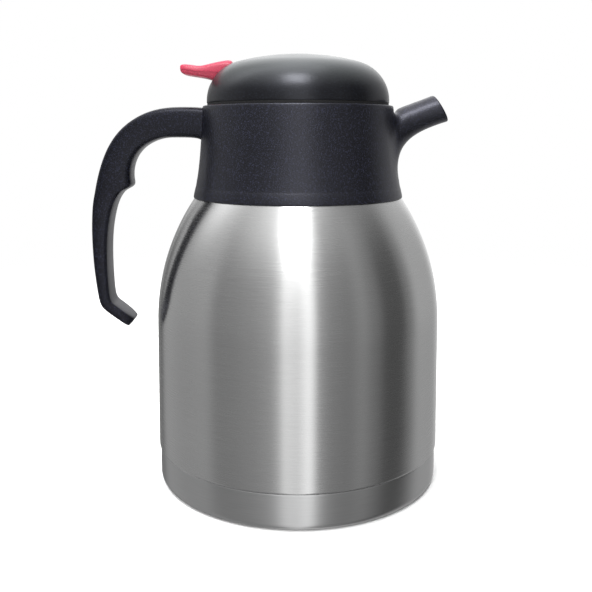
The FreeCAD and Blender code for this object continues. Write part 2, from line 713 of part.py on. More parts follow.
# ---------------------------------------------------------------- the lever and the valve
def lever():
    """The press lever: the thumb blade outside, and the fork that lifts the stem's head inside."""
    blade = Outline(-33.7, 214.9).arc((-34.4, 216.4), (-36.4, 217.1))
    blade.curve((-39.6, 216.7), (-45.9, 214.6), (-50.2, 213.4), (-53.9, 213.8), (-58.4, 214.2))
    blade.arc((-59.9, 213.8), (-60.3, 212.3)).arc((-59.9, 210.4), (-58.6, 209.6))
    blade.curve((-55.4, 209.1), (-47.4, 207.5), (-44.4, 207.3))
    blade.line(-38.0, pivot - 4.0).line(pivot_x, pivot - 4.4)
    blade.arc((pivot_x + 3.1, pivot - 3.1), (pivot_x + 4.4, pivot)).line(-31.2, 211.0)
    solid = blade.wide(lever_half_width)
    edges = []
    for edge in solid.Edges:
        middle = edge.valueAt((edge.FirstParameter + edge.LastParameter) / 2)
        if abs(abs(middle.y) - lever_half_width) < 1e-6:
            edges.append(edge)
    solid = solid.makeFillet(lever_edge, edges)
    arm = Outline(pivot_x, arm_top - 4.1).line(5.5, arm_top - 3.2).line(5.5, arm_top)
    arm.line(pivot_x, arm_top)
    gap = stem_radius + 0.6
    fork = arm.wide(lever_arm)
    notch = Part.makeBox(20, 2 * gap, 20, Vector(-4.5, -gap, 195))
    solid = solid.fuse(fork).cut(notch)
    hole = Part.makeCylinder(pin_radius + running, 60, Vector(pivot_x, -30, pivot), Vector(0, 1, 0))
    return solid.cut(hole)


def valve_stem():
    """Steel stem; the lever's fork lifts it by its head. A groove near its foot holds the clip."""
    groove_foot = clip_top - 1.0
    outline = Outline(0, stem_foot).line(stem_radius - 0.4, stem_foot)
    outline.line(stem_radius, stem_foot + 0.4).line(stem_radius, groove_foot)
    outline.line(stem_radius - 0.5, groove_foot).line(stem_radius - 0.5, clip_top)
    outline.line(stem_radius, clip_top).line(stem_radius, head_foot).line(head_radius, head_foot)
    outline.line(head_radius, head_foot + head_height - 0.5)
    return outline.line(head_radius - 0.5, head_foot + head_height).line(
        0, head_foot + head_height).turned()


def stem_clip():
    """Retaining ring, open at one side, snapped in the stem's groove under the washer."""
    clip = ring(stem_radius - 0.5 + press, stem_radius + 2.5, clip_top - 1.0 + press, clip_top)
    return clip.cut(Part.makeBox(10, 2.4, 5, Vector(0, -1.2, clip_top - 3)))


def valve_washer():
    return ring(stem_radius + press, plug_radius, washer_seat, plug_foot)


def valve_plug():
    """Disc over the washer, with a hub that keeps the spring in place."""
    top = plug_foot + plug_height
    outline = Outline(stem_radius + press, plug_foot).line(plug_radius, plug_foot)
    outline.line(plug_radius, top - 1.0).line(plug_radius - 1.5, top).line(5.6, top)
    return outline.line(5.2, top + 3.0).line(stem_radius + press, top + 3.0).turned()


def valve_spring():
    foot = plug_foot + plug_height + spring_wire + 0.02
    top = partition - spring_wire - 0.02
    rise = top - foot
    helix = Part.makeLongHelix(rise / spring_turns, rise, spring_radius)
    wire = Part.Wire(Part.Circle(Vector(spring_radius, 0, 0), Vector(0, 1, 0), spring_wire).toShape())
    coil = Part.Wire(helix.Edges).makePipeShell([wire], True, True)
    coil.translate(Vector(0, 0, foot))
    return coil


def build_all():
    os.makedirs("parts", exist_ok=True)
    save("outer_shell", outer_shell())
    for name, piece in zip(("liner_shoulder", "liner_wall", "liner_floor"), liner_pieces()):
        save(name, piece)
    save("vacuum_base", vacuum_base())
    save("pump_plug", pump_plug())
    save("getter", getter())
    save("base_cup", base_cup())
    save("base_pad", base_pad())
    save("collar", collar())
    save("neck_gasket", neck_gasket())
    save("handle_shell", handle_shell())
    save("handle_cover", handle_cover())
    save("handle_screws", handle_screws())
    save("handle_inserts", handle_inserts())
    save("stopper_seal", stopper_seal())
    for name, piece in zip(("stopper_foot", "stopper_tube", "stopper_cage"), stopper_tube_pieces()):
        save(name, piece)
    save("stopper_cap", stopper_cap())
    save("stem_guide", stem_guide())
    save("rim_gasket", rim_gasket())
    save("lever_carrier", lever_carrier())
    save("lid_screws", lid_screws())
    save("lever_pin", lever_pin())
    save("lid_dome", lid_dome())
    save("lever", lever())
    save("valve_stem", valve_stem())
    save("stem_clip", stem_clip())
    save("valve_washer", valve_washer())
    save("valve_plug", valve_plug())
    save("valve_spring", valve_spring())


if __name__ == "__main__":
    build_all()
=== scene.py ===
import math

import bpy
from mathutils import Matrix


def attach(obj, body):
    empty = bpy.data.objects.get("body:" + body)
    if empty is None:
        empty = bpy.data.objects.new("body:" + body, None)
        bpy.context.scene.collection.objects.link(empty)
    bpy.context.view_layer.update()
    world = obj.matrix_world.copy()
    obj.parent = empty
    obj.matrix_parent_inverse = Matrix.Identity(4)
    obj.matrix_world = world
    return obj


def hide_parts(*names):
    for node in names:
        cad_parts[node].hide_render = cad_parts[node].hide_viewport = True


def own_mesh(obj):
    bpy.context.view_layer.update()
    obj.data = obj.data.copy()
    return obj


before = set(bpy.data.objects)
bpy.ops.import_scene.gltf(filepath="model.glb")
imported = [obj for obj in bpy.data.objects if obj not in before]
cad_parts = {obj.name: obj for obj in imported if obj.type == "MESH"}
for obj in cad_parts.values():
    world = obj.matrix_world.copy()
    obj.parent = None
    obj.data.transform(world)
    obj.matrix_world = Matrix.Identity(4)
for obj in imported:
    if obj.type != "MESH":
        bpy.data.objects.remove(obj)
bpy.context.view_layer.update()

# ------------------------------------------------------------------------------------------------
# The view: a camera a little above the stopper, looking slightly down at the side of the jug, with
# the spout on the right. Its frame sits low on the lens, as a stand camera's rising back gives.
# ------------------------------------------------------------------------------------------------
bpy.ops.object.select_all(action="DESELECT")
bpy.ops.object.camera_add(location=(-0.001, -0.4078, 0.1792), rotation=(math.radians(85), 0, 0))
camera = bpy.context.object
camera.name = "studio_camera"
camera.rotation_euler.rotate_axis("Z", math.radians(0.04))
camera.data.sensor_width = 36
camera.data.lens = 47.17
camera.data.shift_y = -0.1605
camera.data.clip_start = 0.01
camera.data.clip_end = 30
camera.data.dof.use_dof = False
bpy.context.scene.camera = camera
bpy.context.scene.view_settings.view_transform = "Standard"
bpy.context.scene.view_settings.look = "None"

# ------------------------------------------------------------------------------------------------
# The studio: a white sweep for a floor, and a room of soft panels that the steel mirrors. Round the
# room the panels are bright behind the camera, grey at the sides, and dark just right of the jug.
# ------------------------------------------------------------------------------------------------
bpy.ops.object.select_all(action="DESELECT")
bpy.ops.mesh.primitive_circle_add(vertices=96, radius=0.8, fill_type="NGON", location=(0, 0, 0))
floor = bpy.context.object
floor.name = "floor"
white = bpy.data.materials.new("white_sweep")
white.use_nodes = True
tree = white.node_tree
paint = tree.nodes["Principled BSDF"]
paint.inputs["Base Color"].default_value = (0.88, 0.88, 0.88, 1)
paint.inputs["Roughness"].default_value = 0.8
paint.inputs["Specular IOR Level"].default_value = 0.1
dull = tree.nodes.new("ShaderNodeBsdfTransparent")
dull.inputs["Color"].default_value = (0.85, 0.85, 0.85, 1)
clear = tree.nodes.new("ShaderNodeBsdfTransparent")
rays = tree.nodes.new("ShaderNodeLightPath")
mirrored = tree.nodes.new("ShaderNodeMixShader")
tree.links.new(rays.outputs["Is Glossy Ray"], mirrored.inputs[0])
tree.links.new(paint.outputs[0], mirrored.inputs[1])
tree.links.new(dull.outputs[0], mirrored.inputs[2])
spot = tree.nodes.new("ShaderNodeTexCoord")
reach = tree.nodes.new("ShaderNodeVectorMath")
reach.operation = "LENGTH"
tree.links.new(spot.outputs["Object"], reach.inputs[0])
fade = tree.nodes.new("ShaderNodeMapRange")
fade.interpolation_type = "SMOOTHSTEP"
fade.inputs["From Min"].default_value = 0.25
fade.inputs["From Max"].default_value = 0.75
tree.links.new(reach.outputs["Value"], fade.inputs["Value"])
edge = tree.nodes.new("ShaderNodeMixShader")
tree.links.new(fade.outputs[0], edge.inputs[0])
tree.links.new(mirrored.outputs[0], edge.inputs[1])
tree.links.new(clear.outputs[0], edge.inputs[2])
tree.links.new(edge.outputs[0], tree.nodes["Material Output"].inputs[0])
floor.data.materials.append(white)

room = bpy.data.worlds.new("studio_room")
bpy.context.scene.world = room
room.use_nodes = True
tree = room.node_tree
tree.nodes.clear()


def wire(tree, source, target):
    """Joins two sockets of a node tree."""
    tree.links.new(source, target)


def sum_of(tree, operation, first, second):
    """A maths node; each side is a socket or a plain number."""
    node = tree.nodes.new("ShaderNodeMath")
    node.operation = operation
    for socket, value in zip(node.inputs, (first, second)):
        if isinstance(value, (int, float)):
            socket.default_value = value
        else:
            wire(tree, value, socket)
    return node.outputs[0]


look = tree.nodes.new("ShaderNodeTexCoord").outputs["Generated"]
parts = tree.nodes.new("ShaderNodeSeparateXYZ")
wire(tree, look, parts.inputs[0])
forward = sum_of(tree, "MULTIPLY", parts.outputs["Y"], -1.0)
bearing = sum_of(tree, "ARCTAN2", parts.outputs["X"], forward)
around = sum_of(tree, "ADD", sum_of(tree, "DIVIDE", bearing, 2 * math.pi), 0.5)


def panel_ring(tree, around, panels):
    """A ring of soft panels: bearings in degrees from the camera, to the right, and brightnesses."""
    ring = tree.nodes.new("ShaderNodeValToRGB")
    ring.color_ramp.interpolation = "EASE"
    stops = ring.color_ramp.elements
    for index, (degrees, level) in enumerate(panels):
        place = degrees / 360 + 0.5
        stop = stops[index] if index < 2 else stops.new(place)
        stop.position = place
        stop.color = (level, level, level, 1)
    wire(tree, around, ring.inputs[0])
    return ring.outputs["Color"]


wall = panel_ring(tree, around, (
    (-180, 1.2), (-168, 0.7), (-160, 0.14), (-154, 0.34), (-147, 0.12), (-134, 0.46), (-100, 0.40),
    (-78, 0.42), (-66, 0.27), (-54, 0.29), (-38, 0.33), (-22, 0.40), (-15, 0.6), (-11, 1.15),
    (-3, 1.0), (0, 0.9), (4, 1.2), (9, 1.6), (12, 1.2), (16, 0.4), (28, 0.28), (40, 0.25),
    (52, 0.34), (62, 0.24), (75, 0.10), (90, 0.09), (98, 0.22), (112, 0.5), (140, 0.45),
    (168, 0.9), (180, 1.2)))
overhead = panel_ring(tree, around, (
    (-180, 1.8), (-158, 1.3), (-142, 0.45), (-122, 0.65), (-106, 1.9), (-98, 1.7), (-86, 0.9),
    (-70, 0.72), (-54, 0.95), (-38, 1.15), (-20, 1.6), (10, 1.6), (17, 1.2), (26, 0.6), (49, 0.46),
    (80, 0.34), (97, 0.3), (114, 0.48), (134, 0.65), (158, 1.2), (180, 1.8)))
lifted = sum_of(tree, "ADD", parts.outputs["Z"],
                sum_of(tree, "MULTIPLY", sum_of(tree, "MAXIMUM", parts.outputs["Y"], 0.0), 0.45))
above = tree.nodes.new("ShaderNodeMapRange")
above.interpolation_type = "SMOOTHSTEP"
above.inputs["From Min"].default_value = 0.35
above.inputs["From Max"].default_value = 0.8
wire(tree, lifted, above.inputs["Value"])
mixed = tree.nodes.new("ShaderNodeMix")
mixed.data_type = "RGBA"
wire(tree, above.outputs[0], mixed.inputs["Factor"])
wire(tree, wall, mixed.inputs["A"])
wire(tree, overhead, mixed.inputs["B"])
zenith = tree.nodes.new("ShaderNodeMapRange")
zenith.interpolation_type = "SMOOTHSTEP"
zenith.inputs["From Min"].default_value = 0.9
zenith.inputs["From Max"].default_value = 0.98
wire(tree, parts.outputs["Z"], zenith.inputs["Value"])
crown = tree.nodes.new("ShaderNodeMix")
crown.data_type = "RGBA"
crown.inputs["B"].default_value = (1.8, 1.8, 1.8, 1)
wire(tree, zenith.outputs[0], crown.inputs["Factor"])
wire(tree, mixed.outputs["Result"], crown.inputs["A"])
soft = tree.nodes.new("ShaderNodeBackground")
wire(tree, crown.outputs["Result"], soft.inputs["Color"])
plain = tree.nodes.new("ShaderNodeBackground")
plain.inputs["Color"].default_value = (1, 1, 1, 1)
rays = tree.nodes.new("ShaderNodeLightPath")
either = tree.nodes.new("ShaderNodeMixShader")
wire(tree, rays.outputs["Is Camera Ray"], either.inputs[0])
wire(tree, soft.outputs[0], either.inputs[1])
wire(tree, plain.outputs[0], either.inputs[2])
wire(tree, either.outputs[0], tree.nodes.new("ShaderNodeOutputWorld").inputs[0])

for name, place, width, height, power, mirrored in (
        ("top_softbox", (-0.25, 0.15, 1.25), 1.3, 1.3, 26, False),
        ("overhead_panel", (-0.04, -0.70, 1.15), 0.42, 0.5, 6.0, True),
        ("front_softbox", (-0.7, -1.1, 0.9), 0.7, 0.9, 4, False)):
    bpy.ops.object.select_all(action="DESELECT")
    bpy.ops.object.light_add(type="AREA", location=place)
    lamp = bpy.context.object
    lamp.name = name
    lamp.data.shape = "RECTANGLE"
    lamp.data.size = width
    lamp.data.size_y = height
    lamp.data.energy = power
    lamp.visible_glossy = mirrored
    aim = bpy.data.objects["floor"].location.copy()
    aim.z = 0.12
    lamp.rotation_euler = (aim - lamp.location).to_track_quat("-Z", "Y").to_euler()

# ------------------------------------------------------------------------------------------------
# Grain: the fine tooled or moulded texture that every surface of the jug has in some measure. One
# group gives a long-grained scratch pattern, another an even fine stipple, both on object place.
# ------------------------------------------------------------------------------------------------


def pattern_group(name, stretch, detail):
    """A node group: noise stretched on object place, given as a value around a half."""
    group = bpy.data.node_groups.new(name, "ShaderNodeTree")
    group.interface.new_socket(name="Fineness", in_out="INPUT", socket_type="NodeSocketFloat")
    group.interface.new_socket(name="Pattern", in_out="OUTPUT", socket_type="NodeSocketFloat")
    enter = group.nodes.new("NodeGroupInput")
    leave = group.nodes.new("NodeGroupOutput")
    place = group.nodes.new("ShaderNodeTexCoord")
    squeeze = group.nodes.new("ShaderNodeMapping")
    squeeze.inputs["Scale"].default_value = stretch
    noise = group.nodes.new("ShaderNodeTexNoise")
    noise.inputs["Detail"].default_value = detail
    wire(group, place.outputs["Object"], squeeze.inputs["Vector"])
    wire(group, squeeze.outputs["Vector"], noise.inputs["Vector"])
    wire(group, enter.outputs["Fineness"], noise.inputs["Scale"])
    wire(group, noise.outputs["Fac"], leave.inputs["Pattern"])
    return group


brushing = pattern_group("brushing", (1, 1, 90), 3)
stipple = pattern_group("stipple", (1, 1, 1), 3)
smudges = pattern_group("smudges", (1, 1, 1), 1)


def pattern(tree, group, fineness):
    """Places one of the pattern groups in a material, at that fineness."""
    node = tree.nodes.new("ShaderNodeGroup")
    node.node_tree = group
    node.inputs["Fineness"].default_value = fineness
    return node.outputs["Pattern"]


def spread(tree, value, low, high):
    """The pattern's middle stretch opened out to run from low to high."""
    node = tree.nodes.new("ShaderNodeMapRange")
    node.inputs["From Min"].default_value = 0.3
    node.inputs["From Max"].default_value = 0.7
    node.inputs["To Min"].default_value = low
    node.inputs["To Max"].default_value = high
    wire(tree, value, node.inputs["Value"])
    return node.outputs[0]


def tint(tree, value, dark, light):
    """Two colours mixed by a value from nought to one."""
    node = tree.nodes.new("ShaderNodeMix")
    node.data_type = "RGBA"
    node.inputs["A"].default_value = (*dark, 1)
    node.inputs["B"].default_value = (*light, 1)
    wire(tree, value, node.inputs["Factor"])
    return node.outputs["Result"]


def relief(tree, height, depth):
    """A bump of that depth, in metres, from a height value."""
    node = tree.nodes.new("ShaderNodeBump")
    node.inputs["Strength"].default_value = 1.0
    node.inputs["Distance"].default_value = depth
    wire(tree, height, node.inputs["Height"])
    return node.outputs["Normal"]


def brushed_metal(name, dark, light, rough, stretch, fineness=85.0, depth=2.5e-7):
    """Steel with its fine brushing lying level, round the axis."""
    material = bpy.data.materials.new(name)
    material.use_nodes = True
    tree = material.node_tree
    metal = tree.nodes["Principled BSDF"]
    metal.inputs["Metallic"].default_value = 1.0
    metal.inputs["Anisotropic"].default_value = stretch
    metal.inputs["Anisotropic Rotation"].default_value = 0.25
    turning = tree.nodes.new("ShaderNodeTangent")
    turning.direction_type = "RADIAL"
    turning.axis = "Z"
    wire(tree, turning.outputs[0], metal.inputs["Tangent"])
    lines = pattern(tree, brushing, fineness)
    clouds = pattern(tree, smudges, 22.0)
    both = sum_of(tree, "ADD", sum_of(tree, "MULTIPLY", lines, 0.7), sum_of(tree, "MULTIPLY", clouds, 0.3))
    wire(tree, tint(tree, spread(tree, both, 0, 1), dark, light), metal.inputs["Base Color"])
    wire(tree, spread(tree, lines, rough - 0.03, rough + 0.03), metal.inputs["Roughness"])
    wire(tree, relief(tree, lines, depth), metal.inputs["Normal"])
    return material


def moulded(name, dark, light, rough, fineness=1500.0, depth=9e-5, shine=0.5,
             sheen=(1, 1, 1)):
    """Moulded plastic or rubber: a fine even grain, whose tops are the lighter colour, partly the grain's own
    tone and partly painted glints, over slow changes in its shine."""
    material = bpy.data.materials.new(name)
    material.use_nodes = True
    tree = material.node_tree
    skin = tree.nodes["Principled BSDF"]
    skin.inputs["Specular IOR Level"].default_value = shine
    skin.inputs["Specular Tint"].default_value = (*sheen, 1)
    grain = pattern(tree, stipple, fineness)
    clouds = pattern(tree, smudges, 30.0)
    # The grain's tops are lighter in the base colour: partly the grain's own tone, partly painted glints
    # where light would catch them.
    wire(tree, tint(tree, spread(tree, grain, -1.1, 1), dark, light), skin.inputs["Base Color"])
    wire(tree, spread(tree, clouds, rough - 0.03, rough + 0.03), skin.inputs["Roughness"])
    wire(tree, relief(tree, grain, depth), skin.inputs["Normal"])
    return material


def finish_with(node, material):
    """Gives a CAD node that keeps its own shape its finished material."""
    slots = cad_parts[node].data.materials
    slots.clear()
    slots.append(material)


# ------------------------------------------------------------------------------------------------
# The outer shell: one drawn steel sheet, 0.6 mm thick, brushed on a lathe so that its fine lines run
# level. Its lower edge is rolled in over the base cup, which leaves the narrow seam.
# ------------------------------------------------------------------------------------------------
MM = 0.001


def outline(name, start, *moves):
    """A line drawn in the upright plane of the spout, in mm: (x, z) goes straight there, and
    (centre x, centre z, degrees anticlockwise, steps) goes round."""
    bpy.ops.object.select_all(action="DESELECT")
    bpy.ops.mesh.primitive_plane_add(size=2 * MM)
    piece = bpy.context.object
    piece.name = name
    bpy.ops.object.mode_set(mode="EDIT")
    bpy.ops.mesh.select_mode(type="VERT")
    bpy.ops.mesh.select_all(action="SELECT")
    bpy.ops.mesh.merge(type="CENTER")
    x, z = start
    bpy.ops.transform.translate(value=(x * MM, 0, z * MM))
    for move in moves:
        if len(move) == 2:
            step = ((move[0] - x) * MM, 0, (move[1] - z) * MM)
            bpy.ops.mesh.extrude_region_move(TRANSFORM_OT_translate={"value": step})
            x, z = move
        else:
            middle_x, middle_z, turn, steps = move
            bpy.ops.mesh.spin(steps=steps, angle=math.radians(turn), axis=(0, 1, 0),
                              center=(middle_x * MM, 0, middle_z * MM))
            across, up = x - middle_x, z - middle_z
            cosine, sine = math.cos(math.radians(turn)), math.sin(math.radians(turn))
            x, z = middle_x + across * cosine - up * sine, middle_z + across * sine + up * cosine
    return piece


def close_outline():
    """Joins the line's end to its start."""
    bpy.ops.mesh.select_all(action="SELECT")
    bpy.ops.mesh.remove_doubles(threshold=1e-6)
    bpy.ops.mesh.select_non_manifold(extend=False)
    piece = bpy.context.object
    piece.update_from_editmode()
    uses = {}
    for edge in piece.data.edges:
        for corner in edge.vertices:
            uses[corner] = uses.get(corner, 0) + 1
    ends = [corner for corner, count in uses.items() if count == 1]
    bpy.ops.mesh.select_all(action="DESELECT")
    bpy.ops.object.mode_set(mode="OBJECT")
    for corner in ends:
        piece.data.vertices[corner].select = True
    bpy.ops.object.mode_set(mode="EDIT")
    if len(ends) == 2:
        bpy.ops.mesh.edge_face_add()
    bpy.ops.mesh.select_all(action="SELECT")


def face_outward():
    """Turns all faces of the piece in hand outward and leaves edit mode."""
    bpy.ops.mesh.select_all(action="SELECT")
    bpy.ops.mesh.normals_make_consistent(inside=False)
    bpy.ops.object.mode_set(mode="OBJECT")


def turn_piece(steps=144, degrees=360):
    """Turns the drawn section round the jug's axis and leaves edit mode."""
    close_outline()
    bpy.ops.mesh.spin(steps=steps, angle=math.radians(degrees), center=(0, 0, 0), axis=(0, 0, 1))
    bpy.ops.mesh.select_all(action="SELECT")
    bpy.ops.mesh.remove_doubles(threshold=2e-6)
    face_outward()
    bpy.ops.object.shade_smooth_by_angle(angle=math.radians(32))
    return bpy.context.object


def put_on(piece, material, body, slot, *stands_for):
    """Gives a finished piece its material and its body, and hides what it stands for. Its slot is not used.
    """
    piece.data.materials.clear()
    piece.data.materials.append(material)
    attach(piece, body)
    if stands_for:
        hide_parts(*stands_for)


outline("steel_shell", (71.45, 3.4), (72.05, 3.4), (72.05, 17.55), (72.7, 17.65), (73.2, 17.85),
        (73.45, 18.2), (73.5, 18.7), (73.5, 40), (73.5, 62), (73.5, 82), (-40.5, 82, 37.25, 30),
        (53.18, 157, -63.9, 8), (46.5, 161.3), (47.2, 162), (46.5, 162.7), (46.5, 169), (43.3, 169),
        (43.3, 168.4), (45.9, 168.4), (45.9, 157), (50.0, 150.4), (56.3, 141.3), (63.9, 126.3),
        (69.4, 109.8), (72.2, 94), (72.9, 82), (72.9, 19.0), (71.45, 17.8))
brushed_shell = brushed_metal("brushed_shell", (0.61, 0.612, 0.612), (0.69, 0.692, 0.692), 0.25, 0.9)
put_on(turn_piece(), brushed_shell, "jug", "brushed_shell", "outer_shell")

# ------------------------------------------------------------------------------------------------
# The base cup: a pressed steel cup pushed on under the shell, with a rounded lower edge. The same
# brushing, but a little duller from standing on counters. The pad is glued in its foot ring.
# ------------------------------------------------------------------------------------------------
outline("steel_base_cup", (0, 1.7), (61.98, 1.7), (62.5, 0.8), (63.0, 0.2), (63.6, 0), (69.25, 0),
        (69.25, 3.5, 90, 10), (72.75, 10), (72.75, 16.6), (72.72, 17.0), (72.5, 17.3), (72.15, 17.35),
        (72.15, 3.5), (69.25, 3.5, -90, 6), (63.3, 0.6), (62.28, 2.3), (0, 2.3))
brushed_base = brushed_metal("brushed_base", (0.56, 0.563, 0.565), (0.65, 0.652, 0.654), 0.31, 0.75, 80.0)
put_on(turn_piece(), brushed_base, "jug", "brushed_base", "base_cup")
finish_with("base_pad", moulded("pad_rubber", (0.035, 0.035, 0.036), (0.05, 0.05, 0.052), 0.7))

# ------------------------------------------------------------------------------------------------
# Inner vessel, vacuum base, getter and pump plug: plain drawn steel that shows only through the
# open neck or in a section. Welded at the neck and round the base.
# ------------------------------------------------------------------------------------------------
drawn_steel = brushed_metal("drawn_steel", (0.50, 0.49, 0.48), (0.64, 0.63, 0.62), 0.26, 0.5)
for node in ("liner_shoulder", "liner_wall", "liner_floor", "vacuum_base"):
    finish_with(node, drawn_steel)
finish_with("getter", brushed_metal("getter_metal", (0.30, 0.30, 0.31), (0.40, 0.40, 0.41), 0.5, 0.0))
finish_with("pump_plug", moulded("solder_glass", (0.20, 0.23, 0.21), (0.30, 0.33, 0.31), 0.3))

# ------------------------------------------------------------------------------------------------
# The collar and spout: one black moulding with a fine even grain, snapped over the steel neck. The
# spout is drawn out of the collar's wall, so that they run into each other without an edge.
# ------------------------------------------------------------------------------------------------


def pick_faces(condition):
    """In edit mode, selects the faces whose middles meet a condition on x, y, z in mm."""
    piece = bpy.context.object
    bpy.ops.mesh.select_mode(type="FACE")
    bpy.ops.mesh.select_all(action="DESELECT")
    bpy.ops.object.mode_set(mode="OBJECT")
    for face in piece.data.polygons:
        face.select = condition(*(face.center / MM))
    bpy.ops.object.mode_set(mode="EDIT")


def fit_ring(here, there):
    """Moves the selected ring from one station to another. A station is x, z, the degrees it leans
    back from upright, half its depth and half its width."""
    x, z, lean, deep, wide = here
    new_x, new_z, new_lean, new_deep, new_wide = there
    middle = (new_x * MM, 0, new_z * MM)
    bpy.ops.transform.translate(value=((new_x - x) * MM, 0, (new_z - z) * MM))
    bpy.ops.transform.rotate(value=math.radians(new_lean - lean), orient_axis="Y", center_override=middle)
    bpy.ops.transform.resize(value=(1, new_wide / wide, new_deep / deep), orient_type="LOCAL",
                             orient_matrix=Matrix.Rotation(math.radians(-new_lean), 3, "Y"),
                             orient_matrix_type="LOCAL", center_override=middle)


def next_ring(here, there):
    """Extrudes the selected ring from one station to the next."""
    bpy.ops.mesh.extrude_region_move(TRANSFORM_OT_translate={"value": (0.0, 0, 0)})
    fit_ring(here, there)


def smoothed(piece, levels, sharp=40):
    """Subdivides a cage smooth and leaves it shaded smooth."""
    select_only(piece)
    rounding = piece.modifiers.new("rounding", "SUBSURF")
    rounding.levels = levels
    rounding.render_levels = levels
    bpy.ops.object.modifier_apply(modifier=rounding.name)
    bpy.ops.object.shade_smooth_by_angle(angle=math.radians(sharp))
    return piece


def select_only(piece):
    """Makes one piece the selected and active one."""
    bpy.ops.object.select_all(action="DESELECT")
    piece.select_set(True)
    bpy.context.view_layer.objects.active = piece


COLUMNS = 48
swell = 3 / (2 + math.cos(2 * math.pi / COLUMNS))
wall_line = (
    (53.7, 145.9), (54.3, 145.9), (54.5, 146.2), (54.4, 147.4), (53.6, 150.9), (53.35, 151.5),
    (53.15, 152.3), (52.35, 157.5), (51.75, 162), (51.15, 167.5), (50.75, 173), (50.4, 178.3), (50.1, 183.5),
    (49.8, 188.6), (49.65, 191.2), (49.5, 192.5), (49.25, 193.05), (48.6, 193.2), (47.0, 193.2),
    (46.35, 193.1), (46.2, 192.7), (46.2, 191.3), (46.45, 190.7), (47.05, 190.1), (47.15, 188.5),
    (47.35, 185.9), (47.55, 183.3), (47.75, 180.7), (47.95, 178.1), (48.2, 175.5), (48.4, 173.9),
    (48.1, 173.2), (47.3, 173), (44.2, 173), (43.3, 172.9), (43.1, 172.4), (43.1, 171.3), (43.3, 170.7),
    (44, 170.6), (46, 170.6), (46.5, 170.5), (46.6, 170), (46.6, 167), (46.6, 163.2), (47.4, 162.7),
    (47.4, 161.3), (46.6, 160.8), (46.6, 159.5), (46.7, 158.2), (47.3, 157.7), (49.6, 157.2), (50.2, 156.4),
    (50.6, 152), (51.6, 149.6), (53, 147.3))
outline("collar_and_spout", *[(radius * swell, height) for radius, height in wall_line])
collar = turn_piece(COLUMNS)
bpy.ops.object.mode_set(mode="EDIT")
root_half = math.radians(15)
root_foot, root_top, chamber_foot = 162, 188.6, 175.5
pick_faces(lambda x, y, z: math.hypot(x, y) > 48.9 and abs(math.atan2(y, x)) < root_half
           and root_foot < z < root_top)
bpy.ops.mesh.delete(type="FACE")
bpy.ops.mesh.select_mode(type="EDGE")
bpy.ops.mesh.select_non_manifold(extend=False)
bpy.ops.mesh.extrude_region_move(TRANSFORM_OT_translate={"value": (0.0, 0, 0)})
bpy.ops.transform.resize(value=(0, 1, 1), center_override=(50 * MM, 0, 176 * MM))
bpy.ops.transform.tosphere(value=1)
collar.update_from_editmode()
ring = [vertex.co / MM for vertex in collar.data.vertices if vertex.select]
lowest, highest = min(point.z for point in ring), max(point.z for point in ring)
station = (50, (lowest + highest) / 2, 0, (highest - lowest) / 2, max(point.y for point in ring))
root = (51.7, 179.4, 4, 11.6, 11.8)
fit_ring(station, root)
station = root
for following in (
        (54.2, 183.0, 9, 10.0, 10.6), (57.6, 185.4, 13, 8.8, 9.6), (61.7, 187.4, 18, 8.0, 9.0),
        (66.5, 189.3, 23, 7.8, 8.7), (71, 191.0, 28, 7.9, 8.6), (73.8, 191.9, 30.4, 8.1, 8.6),
        (74.3, 192.1, 30.4, 7.9, 8.4), (74.3, 192.1, 30.4, 6.9, 7.5), (73.7, 191.8, 30.4, 6.6, 7.2),
        (67, 189.5, 23, 5.9, 6.8), (60.3, 186.8, 17, 6.0, 6.7), (53.5, 183.3, 10, 5.5, 6.6),
        (50.2, 182.1, 6, 5.5, 7.2)):
    next_ring(station, following)
    station = following
pick_faces(lambda x, y, z: 46 < math.hypot(x, y) < 48.7 and abs(math.atan2(y, x)) < root_half
           and chamber_foot < z < root_top)
bpy.ops.mesh.delete(type="FACE")
bpy.ops.mesh.select_mode(type="EDGE")
bpy.ops.mesh.select_non_manifold(extend=False)
bpy.ops.mesh.bridge_edge_loops()
face_outward()
smoothed(collar, 2)
bpy.ops.object.mode_set(mode="EDIT")
bpy.ops.mesh.select_mode(type="VERT")
bpy.ops.mesh.select_all(action="DESELECT")
bpy.ops.object.mode_set(mode="OBJECT")
for vertex in collar.data.vertices:
    x, y, z = vertex.co / MM
    distance = math.hypot(x, y)
    vertex.select = x < 60 and abs(y) < 24 and 155 < z and (distance > 52.5 or distance > 49 and z < 190.6)
bpy.ops.object.mode_set(mode="EDIT")
bpy.ops.mesh.vertices_smooth(factor=0.5, repeat=16)
bpy.ops.object.mode_set(mode="OBJECT")
grained_black = moulded("grained_black", (0.001, 0.001, 0.002), (0.016, 0.018, 0.036), 0.36,
                        shine=0.85, sheen=(0.84, 0.85, 1.0))
put_on(collar, grained_black, "jug", "black_collar", "collar")

# ------------------------------------------------------------------------------------------------
# The collar's thread: three ridges that climb inside its rim, moulded with it, and the tenon at its
# back that the handle is screwed to.
# ------------------------------------------------------------------------------------------------


def close_ends():
    """Fills the open ends of the piece in hand and turns its faces outward."""
    bpy.ops.object.mode_set(mode="EDIT")
    bpy.ops.mesh.select_mode(type="EDGE")
    bpy.ops.mesh.select_non_manifold(extend=False)
    bpy.ops.mesh.fill()
    face_outward()


def block(name, size, middle, corner, segments):
    """A block with rounded edges, its size and middle in mm."""
    bpy.ops.object.select_all(action="DESELECT")
    bpy.ops.mesh.primitive_cube_add(size=1 * MM)
    piece = bpy.context.object
    piece.name = name
    bpy.ops.object.mode_set(mode="EDIT")
    bpy.ops.transform.resize(value=size)
    bpy.ops.transform.translate(value=tuple(distance * MM for distance in middle))
    bpy.ops.mesh.bevel(offset=corner * MM, segments=segments)
    bpy.ops.object.mode_set(mode="OBJECT")
    return piece


